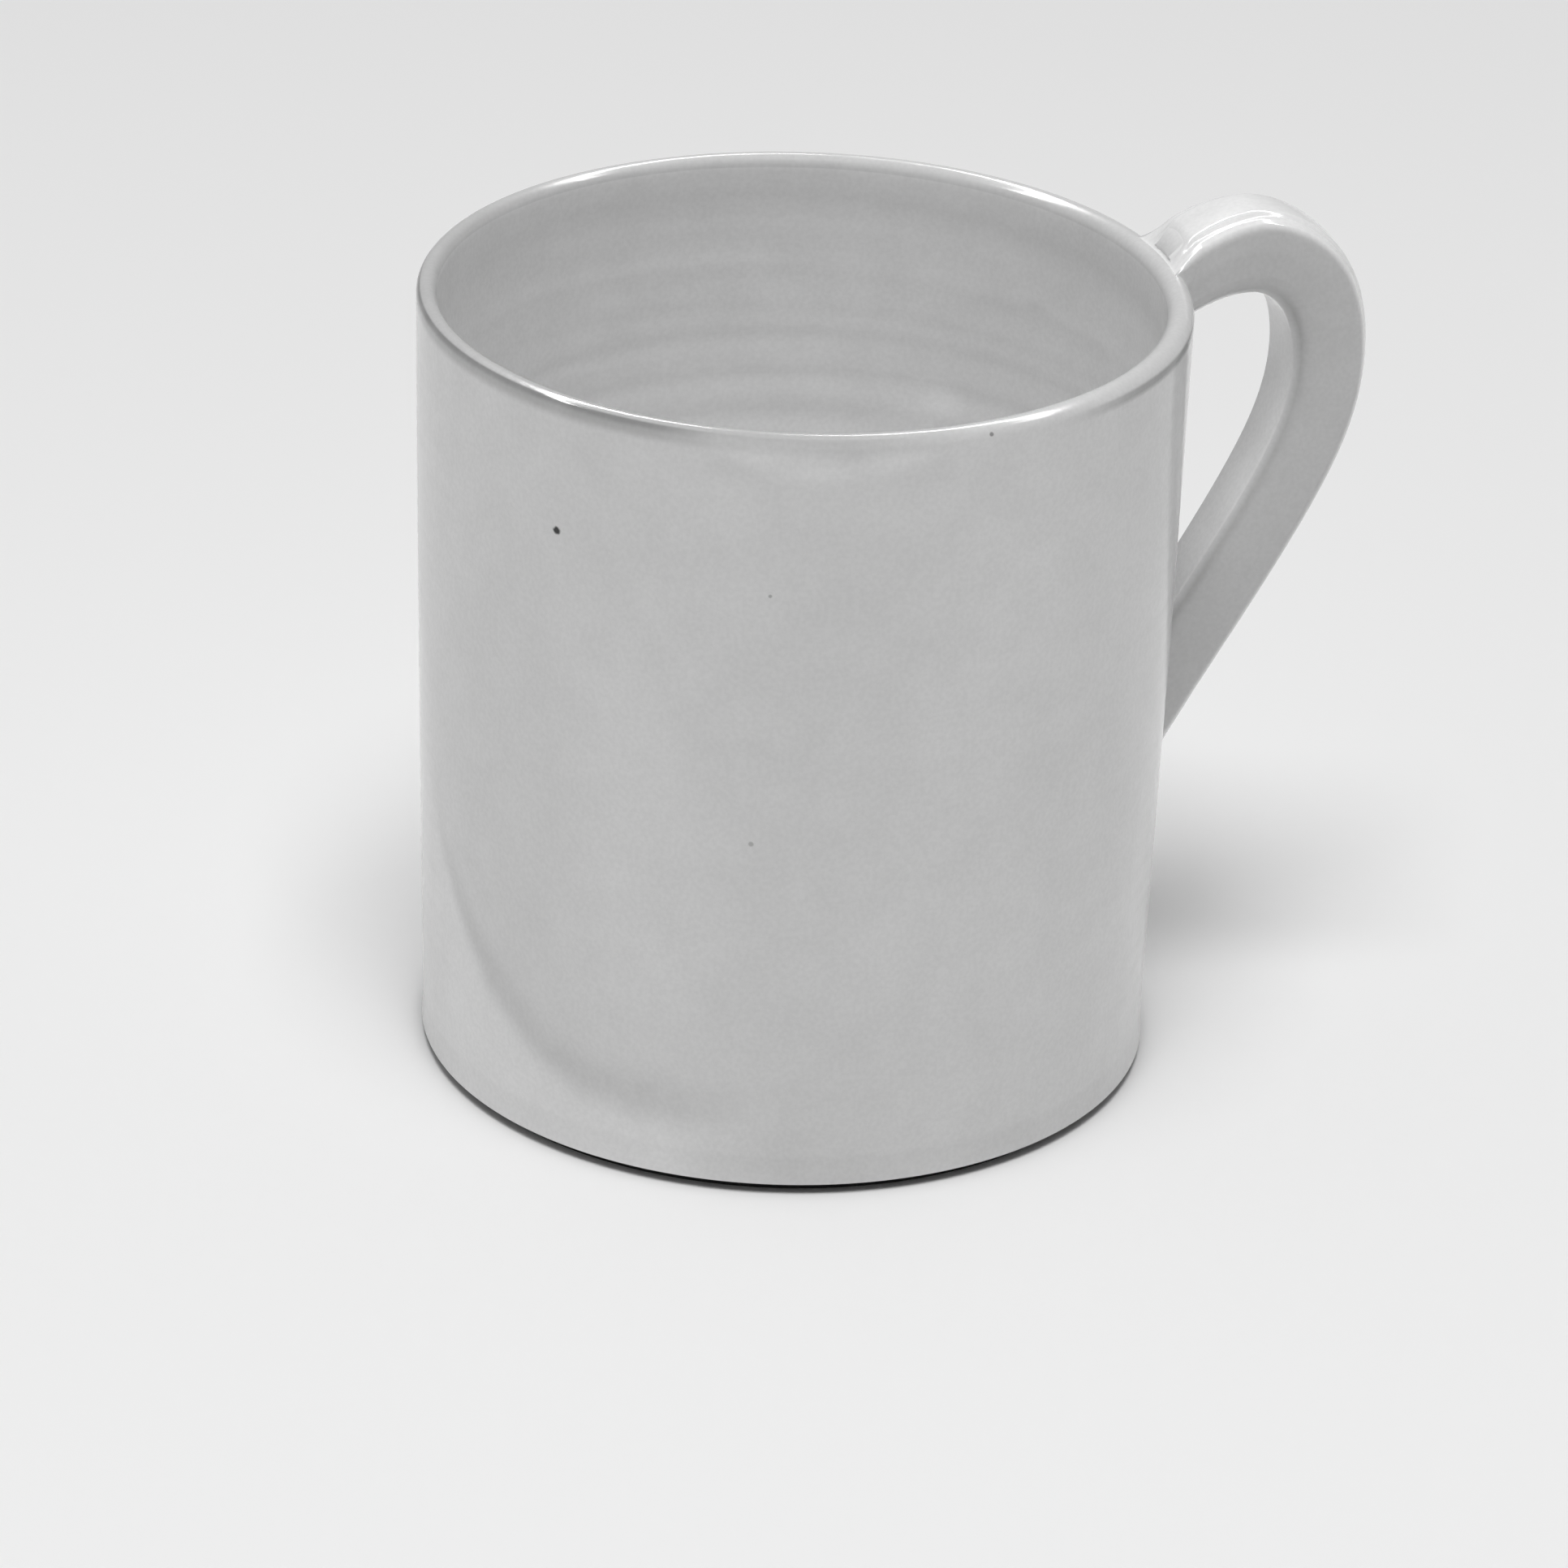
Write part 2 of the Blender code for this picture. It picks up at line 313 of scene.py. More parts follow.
def ring_relief(height, azimuth):
    """Spiral finger marks inside the wall: uneven in pitch and in depth."""
    turn = height / RING_PITCH - azimuth / math.tau
    wander = uneven(height * RING_WANDER_RATE, *RING_ROW) * RING_WANDER
    overtone = math.sin(math.tau * (turn * OVERTONE + OVERTONE_SHIFT))
    wave = math.sin(math.tau * (turn + wander)) + OVERTONE_SHARE * overtone
    patch = uneven(height * RING_UNEVENNESS_RATE, math.cos(azimuth), math.sin(azimuth))
    return RING_DEPTH * wave * (1 - RING_UNEVENNESS + RING_UNEVENNESS * patch)


def outside_relief(z, azimuth):
    """A trimmed and sponged outside: very faint lines and a slow unevenness."""
    wander = TRIM_LINE_WANDER * uneven(z * TRIM_LINE_RATE, *TRIM_LINE_ROW)
    lines = TRIM_LINE_DEPTH * math.sin(math.tau * (z / TRIM_LINE_PITCH + wander))
    swell = uneven(math.cos(azimuth) * SWELL_AROUND, math.sin(azimuth) * SWELL_AROUND,
                   z * SWELL_RATE)
    return lines + SWELL_DEPTH * swell


def cup_ring_points():
    """The profile's stations as zone and value, from the floor's centre to the foot's centre."""
    stations = []
    for zone, first, last, count in PROFILE_ZONES:
        values = spread(first, last, count)
        stations += [(zone, value) for value in (values[1:] if stations else values)]
    return stations


def cup_point(zone, value, azimuth):
    """The radius and height of one station at one azimuth."""
    lip_radius = lip_thickness(azimuth) / 2
    lip_z = HEIGHT - lip_radius
    corner_top = FLOOR_THICKNESS + FLOOR_CORNER_RADIUS
    corner_x = outer_radius(corner_top) - wall_thickness(corner_top, azimuth) - FLOOR_CORNER_RADIUS
    if zone == "floor":
        radius = corner_x * value
        swirl = math.sin(math.tau * (radius / SWIRL_PITCH - azimuth / math.tau))
        return radius, FLOOR_THICKNESS + SWIRL_DEPTH * swirl * smoothstep(0.0, SWIRL_CENTRE, radius)
    if zone == "corner":
        angle = math.radians(value)
        return (corner_x + FLOOR_CORNER_RADIUS * math.cos(angle),
                corner_top + FLOOR_CORNER_RADIUS * math.sin(angle))
    if zone == "inside":
        z = corner_top + (lip_z - corner_top) * value
        radius = outer_radius(z) - wall_thickness(z, azimuth)
        return radius + between(value, *INSIDE_FADE) * ring_relief(z, azimuth), z
    if zone == "lip":
        angle = math.radians(value)
        lip_x = outer_radius(lip_z) - lip_radius
        return lip_x + lip_radius * math.cos(angle), lip_z + lip_radius * math.sin(angle)
    if zone == "outside":
        z = FOOT_FLARE_HEIGHT + (lip_z - FOOT_FLARE_HEIGHT) * value
        return outer_radius(z) + between(value, *OUTSIDE_FADE) * outside_relief(z, azimuth), z
    if zone == "flare":
        z = FOOT_UNDERCUT_HEIGHT + (FOOT_FLARE_HEIGHT - FOOT_UNDERCUT_HEIGHT) * value
        return outer_radius(z), z
    foot_radius = outer_radius(FOOT_UNDERCUT_HEIGHT) - FOOT_UNDERCUT
    if zone == "undercut":
        angle = value * math.pi / 2
        return (foot_radius + FOOT_UNDERCUT * (1 - math.sin(angle)),
                FOOT_UNDERCUT_HEIGHT * math.cos(angle))
    return foot_radius * value, 0.0


def near(azimuth, z, spot_azimuth, spot_z, half_width, half_height):
    """1 at a spot on the wall, falling off around it; the half sizes are in metres."""
    turn = (azimuth - math.radians(spot_azimuth) + math.pi) % math.tau - math.pi
    across = turn * RIM_RADIUS / half_width
    up = (z - spot_z) / half_height
    return math.exp(-(across * across + up * up))


def spots_tone(spots, azimuth, z):
    return sum(tone * near(azimuth, z, *spot) for *spot, tone in spots)


def arc_line_tone(azimuth, z):
    """A curved line low on the wall: a darker band just above it, and a paler zone below it."""
    past = (ARC_START - azimuth + math.pi) % math.tau - math.pi
    edge = ARC_LOW + ARC_RISE * (max(0.0, past) / ARC_RISE_TURN) ** ARC_RISE_POWER
    ragged = ARC_RAGGED * uneven(azimuth * ARC_RAGGED_AROUND, z * ARC_RAGGED_RATE, ARC_ROW)
    above = z - edge + ragged
    dark = hump(above - ARC_DARK_ABOVE, ARC_DARK_HALF)
    pale = smoothstep(*ARC_PALE_EDGE, above)
    return between(past, *ARC_SHOWN) * (ARC_PALE * pale - ARC_DARK * dark)


# Painted light inside: brighter overall, with bands of painted shade and light, and patches
def inside_light_and_patches(azimuth, z):
    tilt = BAND_TILT * math.sin(azimuth + BAND_TILT_TURN)
    bands = sum(tone * hump(z - height - tilt, half) for height, half, tone in RING_SHADE_BANDS)
    patch = uneven(math.cos(azimuth) * BAND_AROUND, math.sin(azimuth) * BAND_AROUND, z * BAND_RATE)
    bands *= BAND_STRENGTH + BAND_UNEVENNESS * patch
    return INSIDE_PAINTED_LIGHT + bands + spots_tone(INSIDE_PATCHES, azimuth, z)


def cup_tone(zone, azimuth, z):
    if zone in INSIDE_ZONES:
        return inside_light_and_patches(azimuth, z)
    if zone in ("undercut", "foot"):
        return 1.0
    # Painted reflections under the front lip, and faint broad patches lower down
    spots = BLOTCH_STRENGTH * spots_tone(LIP_REFLECTIONS_AND_PATCHES, azimuth, z)
    # Darker towards the bottom of the wall, below about 5 mm
    darker_low_wall = FOOT_TONE * smoothstep(*FOOT_TONE_EDGE, z)
    return 1 + spots + arc_line_tone(azimuth, z) + darker_low_wall


def lip_reflection_line(zone, value, azimuth, z):
    """A painted dark reflection: a grey line on the lip's outer shoulder and just below it, by
    direction.
    """
    if zone == "lip":
        full = LINE_SHARE + (1 - LINE_SHARE) * smoothstep(*LINE_FULL_ON_LIP, value)
        high = smoothstep(*LINE_HIGH_ON_LIP, value) * full
        low = smoothstep(*LINE_LOW_ON_LIP, value)
    elif zone == "outside":
        below = HEIGHT - lip_thickness(azimuth) / 2 - z
        high = LINE_SHARE * smoothstep(*LINE_HIGH_ON_WALL, below)
        low = smoothstep(*LINE_LOW_ON_WALL, below)
    else:
        return 0.0
    degrees = math.degrees(azimuth) % 360 - 360
    left = between(degrees, *LINE_LEFT)
    right = between(degrees, *LINE_RIGHT)
    front = LINE_FRONT_SHARE * between(degrees, *LINE_FRONT)
    back = smoothstep(*LINE_BACK_FROM, degrees) + smoothstep(*LINE_BACK_TO, degrees)
    run = 1 + LINE_UNEVENNESS * uneven(azimuth * LINE_AROUND, *LINE_ROW)
    return run * max(high * max(left, LINE_BACK_SHARE * back, front), low * right)


def clay_and_undercut_shade(zone, value):
    """Bare clay: painted shade, near black, in the foot's undercut and at its edge; pale over the
    rest of the underside.
    """
    if zone == "foot":
        return UNDERCUT_SHADE + (CLAY_PALE - UNDERCUT_SHADE) * smoothstep(*CLAY_EDGE, value)
    return UNDERCUT_SHADE


def painted_crown_shade(zone, value, azimuth):
    """Painted shade on the lip's crown: a little greyer all round, most of all on one side."""
    if zone != "lip":
        return 1.0
    facing = 0.5 + 0.5 * math.cos(azimuth - CROWN_SIDE)
    grey = CROWN_TONE + CROWN_SIDE_TONE * smoothstep(*CROWN_SIDE_EDGE, facing)
    return 1 - between(value, *CROWN) * grey


def make_cup(material):
    body = bmesh.new()
    tone_layer = body.verts.layers.float.new("tone")
    bare_layer = body.verts.layers.float.new("bare")
    reflection_line_layer = body.verts.layers.float.new("lip_reflection")
    clay_and_shade_layer = body.verts.layers.float.new("clay")
    rings = []
    for zone, value in cup_ring_points():
        ring = []
        pole = zone in ("floor", "foot") and value == 0.0
        for i in range(1 if pole else AROUND):
            azimuth = math.tau * i / AROUND
            radius, z = cup_point(zone, value, azimuth)
            vert = body.verts.new((radius * math.cos(azimuth), radius * math.sin(azimuth), z))
            vert[tone_layer] = cup_tone(zone, azimuth, z) * painted_crown_shade(zone, value, azimuth)
            vert[bare_layer] = 1.0 if zone in ("undercut", "foot") else 0.0
            vert[clay_and_shade_layer] = clay_and_undercut_shade(zone, value)
            vert[reflection_line_layer] = lip_reflection_line(zone, value, azimuth, z)
            ring.append(vert)
        rings.append(ring)
    for lower, upper in zip(rings, rings[1:]):
        for i in range(AROUND):
            j = (i + 1) % AROUND
            if len(lower) == 1:
                body.faces.new((lower[0], upper[i], upper[j]))
            elif len(upper) == 1:
                body.faces.new((lower[j], lower[i], upper[0]))
            else:
                body.faces.new((lower[j], lower[i], upper[i], upper[j]))
    return make_piece("thrown_cup", finished_mesh("thrown_cup", body), material,
                      "cup_body")


def finished_mesh(name, body):
    bmesh.ops.recalc_face_normals(body, faces=body.faces)
    mesh = bpy.data.meshes.new(name)
    body.to_mesh(mesh)
    body.free()
    return mesh


def make_piece(name, mesh, material, node):
    piece = bpy.data.objects.new(name, mesh)
    bpy.context.scene.collection.objects.link(piece)
    mesh.materials.append(material)
    mesh.shade_smooth()
    mesh.set_sharp_from_angle(angle=SHARP_ANGLE)
    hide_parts(node)
    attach(piece, "root")
    return piece


# ---------------------------------------------------------------- handle

def curve(start, middle, end, t):
    s = 1 - t
    return start * s**2 + middle * (2 * t * s) + end * t * t


def bezier(p0, p1, p2, p3, t):
    s = 1 - t
    return p0 * s**3 + p1 * (3 * s * s * t) + p2 * (3 * s * t * t) + p3 * t**3


def centreline():
    """Points along the strap, each with its scale, as the CAD part sweeps it."""
    spans = [
        (ROOT, ROOT + ROOT_ARM, CREST - CREST_ARM_BACK, CREST, ROOT_THICKNESS_SHARE),
        (CREST, CREST + CREST_ARM_AHEAD, OUTER + OUTER_ARM_UP, OUTER, 1.0),
        (OUTER, OUTER - OUTER_ARM_DOWN, TAIL + TAIL_ARM, TAIL, 1.0),
    ]
    line = []
    for *knots, scale in spans:
        for i in range(SPAN_STEPS):
            t = i / SPAN_STEPS
            line.append((bezier(*knots, t), scale + (1.0 - scale) * t))
    line.append((TAIL, 1.0))
    bend = TAIL - TAIL_ARM * TAIL_BEND_SHARE
    for i in range(1, TAIL_STEPS + 1):
        t = i / TAIL_STEPS
        line.append((curve(TAIL, bend, TAIL + TAIL_TUCK, t), 1 - TAIL_SHRINK * t))
    return line


def width_share(point):
    upward = min(1.0, max(0.0, (point.z - TAIL.z) / (CREST.z - TAIL.z)))
    share = SECTION_HALF_WIDTH_TAIL + (SECTION_HALF_WIDTH_TOP - SECTION_HALF_WIDTH_TAIL) * upward
    share /= SECTION_HALF_WIDTH_TOP
    if point.z > OUTER.z:
        inward = min(1.0, max(0.0, (CREST.x - point.x) / (CREST.x - ROOT.x)))
        share *= 1 + (ROOT_WIDTH_SHARE / ROOT_THICKNESS_SHARE - 1) * inward
    return share


def rounded_outline(corners):
    """A closed outline with an arc at each corner; each corner is (x, y, radius)."""
    outline = []
    count = len(corners)
    for i, (x, y, radius) in enumerate(corners):
        here = Vector((x, y))
        back = Vector(corners[i - 1][:2]) - here
        ahead = Vector(corners[(i + 1) % count][:2]) - here
        half_turn = (math.pi - back.angle(ahead)) / 2
        reach = min(radius * math.tan(half_turn), CORNER_ROOM * min(back.length, ahead.length))
        start = here + back.normalized() * reach
        end = here + ahead.normalized() * reach
        outline += [curve(start, here, end, t) for t in spread(0, 1, CORNER_STEPS)]
    return outline


def strap_section():
    mirrored = [(x, -y, radius) for x, y, radius in STRAP_HALF_SECTION[-2:0:-1]]
    return rounded_outline(STRAP_HALF_SECTION + mirrored)


def wall_surface(azimuth, height):
    """A point on the cup's outside; a height past the wall's top goes on over the lip."""
    lip_radius = lip_thickness(azimuth) / 2
    lip_z = HEIGHT - lip_radius
    if height <= lip_z:
        radius, z = outer_radius(height), height
    else:
        angle = (height - lip_z) / lip_radius
        radius = outer_radius(lip_z) - lip_radius + lip_radius * math.cos(angle)
        z = lip_z + lip_radius * math.sin(angle)
    return Vector((radius * math.cos(azimuth), radius * math.sin(azimuth), z))


def wall_place(point):
    """The clearance of a point from the cup's outside, and its azimuth and height on it.

    Over the mouth, past the lip's crown, counts as inside the wall.
    """
    azimuth = math.atan2(point.y, point.x)
    radius = math.hypot(point.x, point.y)
    lip_radius = lip_thickness(azimuth) / 2
    lip_z = HEIGHT - lip_radius
    if point.z <= lip_z:
        return radius - outer_radius(max(0.0, point.z)), azimuth, point.z
    across = radius - (outer_radius(lip_z) - lip_radius)
    if across < 0:
        return across, azimuth, lip_z + lip_radius * LIP_LANDING
    clearance = math.hypot(across, point.z - lip_z) - lip_radius
    angle = min(LIP_LANDING, math.atan2(point.z - lip_z, across))
    return clearance, azimuth, lip_z + lip_radius * angle


def strap_rails(section):
    """The strap's surface as one line of points for each point of its section."""
    line = centreline()
    rails = [[] for _ in section]
    for index, (point, scale) in enumerate(line):
        before = line[max(0, index - 1)][0]
        after = line[min(len(line) - 1, index + 1)][0]
        along = (after - before).normalized()
        outward = Vector((-along.z, 0.0, along.x))
        sideways = Vector((0.0, scale * width_share(point), 0.0))
        for rail, (n, b) in zip(rails, section):
            patch = uneven(point.x * STRAP_SWELL_ALONG, b * STRAP_SWELL_ACROSS,
                           point.z * STRAP_SWELL_ALONG + n * STRAP_SWELL_THROUGH)
            swell = 1 - STRAP_SWELL * (0.5 + 0.5 * patch)
            rail.append(point + outward * (n * scale * swell) + sideways * (b * swell))
    return rails


def strap_painted_light(section):
    """Painted light and shade: the strap's outer face painted lit white, its sides painted in
    shade, its inner face lighter.
    """
    tones = []
    for n, _ in section:
        tone = STRAP_SIDE + (STRAP_OUTER - STRAP_SIDE) * smoothstep(*OUTER_EDGE, n)
        tone += (STRAP_INNER - STRAP_SIDE) * smoothstep(*INNER_EDGE, n)
        tones.append(tone - GROOVE_SHADE * hump(n - GROOVE_PLACE, GROOVE_HALF))
    return tones


def meet_wall(rail, reach):
    """Where a rail, followed to its end, comes within reach of the wall, and where it lands."""
    start = landing = None
    for here, ahead in zip(rail, rail[1:]):
        gap, next_gap = wall_place(here)[0], wall_place(ahead)[0]
        if start is None and gap > reach >= next_gap:
            start = here.lerp(ahead, (gap - reach) / (gap - next_gap))
        if gap > 0 >= next_gap:
            landing = here.lerp(ahead, gap / (gap - next_gap))
            break
    return start, landing


def trimmed(rails, section):
    """Cuts each rail a slip's reach short of the wall at both ends; returns rails and end data."""
    middle = len(rails[0]) // 2
    cut, roots, tails = [], [], []
    for rail, (n, _) in zip(rails, section):
        root_reach = SLIP_REACH * (1 + UPPER_EXTRA_REACH * smoothstep(*UPPER_EXTRA_EDGE, n))
        roots.append(meet_wall(rail[middle::-1], root_reach))
        tails.append(meet_wall(rail[middle:], SLIP_REACH))
        kept = [point for i, point in enumerate(rail)
                if wall_place(point)[0] > (root_reach if i < middle else SLIP_REACH) + TRIM_ROOM]
        cut.append(resampled([roots[-1][0]] + kept + [tails[-1][0]], STRAP_STATIONS))
    return cut, roots, tails


def resampled(points, count):
    lengths = [0.0]
    for a, b in zip(points, points[1:]):
        lengths.append(lengths[-1] + (b - a).length)
    out, j = [], 0
    for want in spread(0.0, lengths[-1], count):
        while j < len(points) - 2 and lengths[j + 1] < want:
            j += 1
        step = lengths[j + 1] - lengths[j]
        out.append(points[j].lerp(points[j + 1], min(1.0, (want - lengths[j]) / step)))
    return out


def skin(name, rings, tones):
    """A closed mesh through rings of points, capped at both ends; each rail has its tone."""
    body = bmesh.new()
    tone_layer = body.verts.layers.float.new("tone")
    layers = [[body.verts.new(point) for point in ring] for ring in rings]
    for layer in layers:
        for vert, tone in zip(layer, tones):
            vert[tone_layer] = tone
    count = len(rings[0])
    for lower, upper in zip(layers, layers[1:]):
        for k in range(count):
            m = (k + 1) % count
            body.faces.new((lower[k], lower[m], upper[m], upper[k]))
    for layer in (layers[0], layers[-1]):
        centre = body.verts.new(sum((v.co for v in layer), Vector()) / count)
        for k in range(count):
            body.faces.new((layer[k], layer[(k + 1) % count], centre))
    return finished_mesh(name, body)


def slip_rings(ends):
    """Rings of the slip fillet: tangent to the strap at one edge, to the wall at the other."""
    places = [wall_place(landing)[1:] for _, landing in ends]
    centre_azimuth = sum(azimuth for azimuth, _ in places) / len(places)
    centre_height = sum(height for _, height in places) / len(places)
    curves = []
    for (start, landing), (azimuth, height) in zip(ends, places):
        out = Vector(((azimuth - centre_azimuth) * RIM_RADIUS, height - centre_height)).normalized()
        lip_radius = lip_thickness(azimuth) / 2
        crown = HEIGHT - lip_radius + lip_radius * LIP_LANDING
        lift = smoothstep(-LIP_LIFT_BELOW, 0.0, height - HEIGHT + lip_radius)
        reached = min(crown, height + out.y * SLIP_REACH * (1 + LIP_LIFT * lift))
        turned = azimuth + out.x * SLIP_REACH / RIM_RADIUS
        landed = wall_surface(turned, reached)
        behind = wall_surface(turned - out.x * WALL_STEP / RIM_RADIUS, reached - out.y * WALL_STEP)
        back = (behind - landed).normalized() * SLIP_REACH * SLIP_PULL
        ahead = (landing - start) * (SLIP_PULL - LIP_PULL_LESS * lift)
        curves.append((start, start + ahead, landed + back, landed))
    rings = [[bezier(*points, step / SLIP_STEPS) for points in curves]
             for step in range(SLIP_STEPS + 1)]
    sunk = []
    for point in rings[-1]:
        shrink = 1 - SUNK_IN / math.hypot(point.x, point.y)
        sunk.append(Vector((point.x * shrink, point.y * shrink, point.z - SUNK_DOWN)))
    return rings + [sunk]


def closing_ring(ends):
    """The strap's own end, drawn in under the slip."""
    centre = sum((landing for _, landing in ends), Vector()) / len(ends)
    return [start.lerp(landing, END_TO_WALL).lerp(centre, END_DRAWN_IN) for start, landing in ends]


def make_handle(handle_material, slip_material):
    section = strap_section()
    tones = strap_painted_light(section)
    cut, roots, tails = trimmed(strap_rails(section), section)
    stations = [[rail[i] for rail in cut] for i in range(STRAP_STATIONS)]
    parts = (
        ("pulled_handle", [closing_ring(roots)] + stations + [closing_ring(tails)],
         handle_material, "handle", "handle_glaze"),
        ("upper_slip_fillet", slip_rings(roots), slip_material, "upper_slip_joint", "slip_glaze"),
        ("lower_slip_fillet", slip_rings(tails), slip_material, "lower_slip_joint", "slip_glaze"),
    )
    for name, rings, material, node, slot in parts:
        make_piece(name, skin(name, rings, tones), material, node)


# ---------------------------------------------------------------- materials

def on_wall(azimuth, z):
    angle = math.radians(azimuth)
    return (outer_radius(z) * math.cos(angle), outer_radius(z) * math.sin(angle), z)


class Glaze:
    """A material's node tree, read from the object's own coordinates."""

    def __init__(self, name):
        self.material = bpy.data.materials.new(name)
        self.material.use_nodes = True
        self.nodes = self.material.node_tree.nodes
        self.links = self.material.node_tree.links
        self.shader = self.nodes["Principled BSDF"]
        self.place = self.nodes.new("ShaderNodeTexCoord").outputs["Object"]

    def feed(self, socket, value):
        if hasattr(value, "links"):
            self.links.new(value, socket)
        else:
            socket.default_value = value

    def math(self, operation, a, b, c=0.0):
        node = self.nodes.new("ShaderNodeMath")
        node.operation = operation
        for socket, value in zip(node.inputs, (a, b, c)):
            self.feed(socket, value)
        return node.outputs[0]

    def remap(self, value, low, high, to_low, to_high):
        node = self.nodes.new("ShaderNodeMapRange")
        node.interpolation_type = "SMOOTHSTEP"
        for name, number in (("Value", value), ("From Min", low), ("From Max", high),
                             ("To Min", to_low), ("To Max", to_high)):
            self.feed(node.inputs[name], number)
        return node.outputs["Result"]

    def noise(self, scale, detail, stretch=(1, 1, 1)):
        mapping = self.nodes.new("ShaderNodeMapping")
        mapping.inputs["Scale"].default_value = stretch
        self.links.new(self.place, mapping.inputs["Vector"])
        node = self.nodes.new("ShaderNodeTexNoise")
        node.inputs["Scale"].default_value = scale
        node.inputs["Detail"].default_value = detail
        self.links.new(mapping.outputs["Vector"], node.inputs["Vector"])
        return node.outputs["Fac"]

    def wire_marks(self, scale, distortion):
        node = self.nodes.new("ShaderNodeTexWave")
        node.inputs["Scale"].default_value = scale
        node.inputs["Distortion"].default_value = distortion
        self.links.new(self.place, node.inputs["Vector"])
        return node.outputs["Fac"]

    def attribute(self, name):
        node = self.nodes.new("ShaderNodeAttribute")
        node.attribute_name = name
        return node.outputs["Fac"]

    def speck(self, azimuth, height, radius, depth):
        """A factor that drops from 1 to 1 - depth inside a small ball on the cup's outside."""
        node = self.nodes.new("ShaderNodeVectorMath")
        node.operation = "DISTANCE"
        self.links.new(self.place, node.inputs[0])
        node.inputs[1].default_value = on_wall(azimuth, height)
        wobble = self.math("MULTIPLY", self.noise(scale=1500, detail=1), radius * SPECK_WOBBLE)
        distance = self.math("ADD", node.outputs["Value"], wobble)
        return self.remap(distance, radius * SPECK_CORE, radius * SPECK_EDGE, 1 - depth, 1.0)

    def product(self, *factors):
        value = factors[0]
        for factor in factors[1:]:
            value = self.math("MULTIPLY", value, factor)
        return value

    def colour(self, value):
        node = self.nodes.new("ShaderNodeCombineColor")
        for channel in ("Red", "Green", "Blue"):
            self.links.new(value, node.inputs[channel])
        self.links.new(node.outputs["Color"], self.shader.inputs["Base Color"])

    def bump(self, height, distance):
        node = self.nodes.new("ShaderNodeBump")
        node.inputs["Strength"].default_value = 1.0
        node.inputs["Distance"].default_value = distance
        self.links.new(height, node.inputs["Height"])
        self.links.new(node.outputs["Normal"], self.shader.inputs["Normal"])


def clouded(glaze, base):
    """White glaze of uneven depth: broad clouds, small mottling and fine grain."""
    broad = glaze.noise(scale=24, detail=2, stretch=(1, 1, 0.6))
    clouds = glaze.remap(broad, *WIDE_RANGE, *(tone * base for tone in CLOUDS))
    mottling = glaze.remap(glaze.noise(scale=170, detail=3), *WIDE_RANGE, *MOTTLING)
    grain = glaze.remap(glaze.noise(scale=1700, detail=2), *WIDE_RANGE, *GRAIN)
    return glaze.product(clouds, mottling, grain)


def glaze_surface(glaze, relief=None):
    """The fired skin's slight orange peel, with any other relief; returns the roughness."""
    fine, coarse = glaze.noise(scale=420, detail=2), glaze.noise(scale=95, detail=1)
    skin_height = glaze.math("MULTIPLY_ADD", fine, PEEL_FINE_SHARE, coarse)
    if relief is not None:
        skin_height = glaze.math("ADD", skin_height, relief)
    glaze.bump(skin_height, PEEL_DEPTH)
    return glaze.remap(glaze.noise(scale=60, detail=2), *NARROW_RANGE, *GLAZE_ROUGHNESS)


def cup_glaze():
    glaze = Glaze("cup_glaze")
    # The lip line darkens the glaze here: a painted dark reflection
    reflection_darkened = glaze.math("MULTIPLY_ADD", glaze.attribute("lip_reflection"), -LIP_REFLECTION_DEPTH, 1.0)
    specks = [glaze.speck(*speck) for speck in SPECKS]
    white = glaze.product(clouded(glaze, GLAZE_WHITE), glaze.attribute("tone"), reflection_darkened, *specks)
    bare = glaze.attribute("bare")
    gritty = glaze.remap(glaze.noise(scale=500, detail=4), *NARROW_RANGE, *GRIT)
    # The clay attribute carries the pale bare clay and the painted shade in the undercut
    clay = glaze.product(gritty, glaze.attribute("clay"))
    glazed = glaze.math("SUBTRACT", 1.0, bare)
    glaze.colour(glaze.math("ADD", glaze.product(white, glazed), glaze.product(clay, bare)))
    wire = glaze.product(glaze.wire_marks(scale=260, distortion=3.0), bare, WIRE_MARK_SHARE)
    rough = glaze.math("MULTIPLY_ADD", bare, BARE_ROUGHNESS, glaze_surface(glaze, wire))
    glaze.feed(glaze.shader.inputs["Roughness"], rough)
    return glaze.material


def strap_glaze(name):
    glaze = Glaze(name)
    drawn_out = glaze.noise(scale=90, detail=2, stretch=(0.5, 1.6, 0.5))
    streaks = glaze.remap(drawn_out, *NARROW_RANGE, *STREAKS)
    glaze.colour(glaze.product(clouded(glaze, 1.0), streaks, glaze.attribute("tone")))
    glaze.feed(glaze.shader.inputs["Roughness"], glaze_surface(glaze))
    return glaze.material


# ---------------------------------------------------------------- stage, light, camera

def make_floor():
    mesh = bpy.data.meshes.new("floor")
    body = bmesh.new()
    bmesh.ops.create_circle(body, cap_ends=True, segments=96, radius=FLOOR_RADIUS)
    body.to_mesh(mesh)
    body.free()
    floor = bpy.data.objects.new("floor", mesh)
    bpy.context.scene.collection.objects.link(floor)
    material = bpy.data.materials.new("pale_floor")
    material.use_nodes = True
    shader = material.node_tree.nodes["Principled BSDF"]
    shader.inputs["Base Color"].default_value = (FLOOR_WHITE, FLOOR_WHITE, FLOOR_WHITE, 1)
    shader.inputs["Roughness"].default_value = FLOOR_ROUGHNESS
    shader.inputs["Specular IOR Level"].default_value = 0.0
    mesh.materials.append(material)


